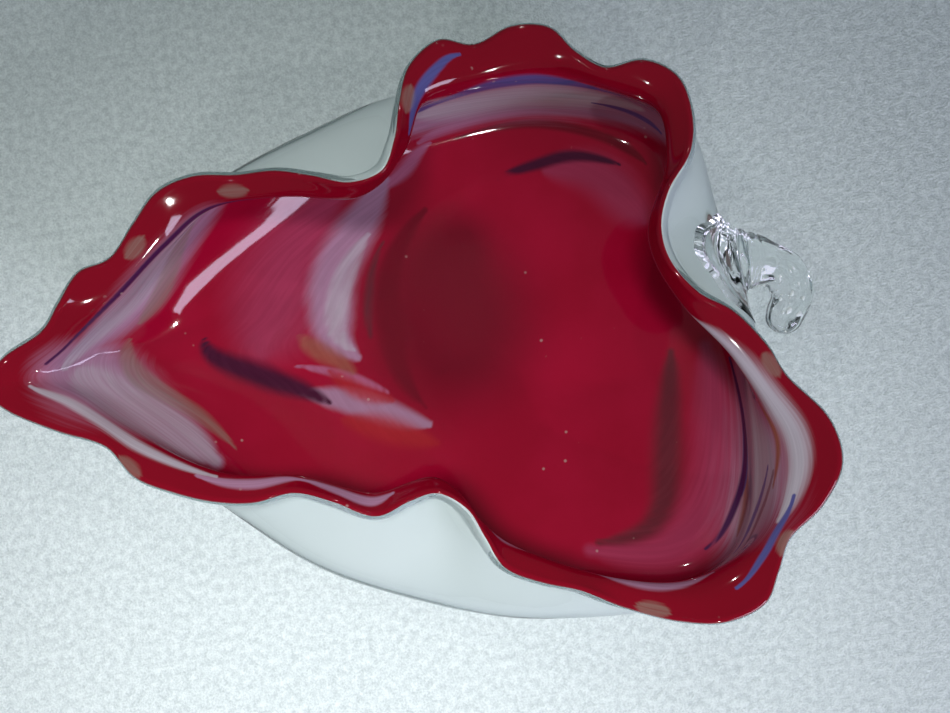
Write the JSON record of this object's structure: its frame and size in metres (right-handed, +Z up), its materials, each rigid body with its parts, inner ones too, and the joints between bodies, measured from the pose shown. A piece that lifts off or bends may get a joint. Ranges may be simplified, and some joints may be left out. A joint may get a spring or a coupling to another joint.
{
  "type": "art glass bowl",
  "caption": "Heart-shaped cased art glass bowl with a ruffled flared lip, pinched sides, a long tip and a clear crook stem.",
  "frame": {"origin": "middle of the flat ground foot, at the face that rests on the table", "axes": "+Z up out of the bowl; -X towards the long tip, +X towards the stem; +Y towards the smaller upper lobe"},
  "size_m": [0.3105, 0.2205, 0.0663],
  "materials": {
    "ruby_glass": "fire-polished opaque ruby glass",
    "white_opal_glass": "opaque white opal glass",
    "clear_glass": "clear polished glass",
    "stem_glass": "clear polished glass with small bubbles",
    "cobalt_glass": "polished cobalt blue glass",
    "lilac_opal_glass": "polished lilac opal glass",
    "umber_glass": "polished dark purple-brown glass",
    "amber_glass": "polished orange-brown glass with flecks"
  },
  "bodies": {
    "root": {"ruby_lining": "ruby_glass", "white_opal_layer": "white_opal_glass", "clear_casing": "clear_glass", "clear_stem": "stem_glass", "cobalt_thread_top": "cobalt_glass", "cobalt_thread_floor": "cobalt_glass", "cobalt_thread_right": "cobalt_glass", "opal_swirl_top": "lilac_opal_glass", "opal_crescent_floor": "lilac_opal_glass", "opal_crescent_right": "lilac_opal_glass", "opal_fan_tip": "lilac_opal_glass", "purple_streak_tip": "umber_glass", "umber_streak_floor": "umber_glass", "amber_fleck_floor": "amber_glass", "amber_band_right": "amber_glass"}
  },
  "joints": []
}
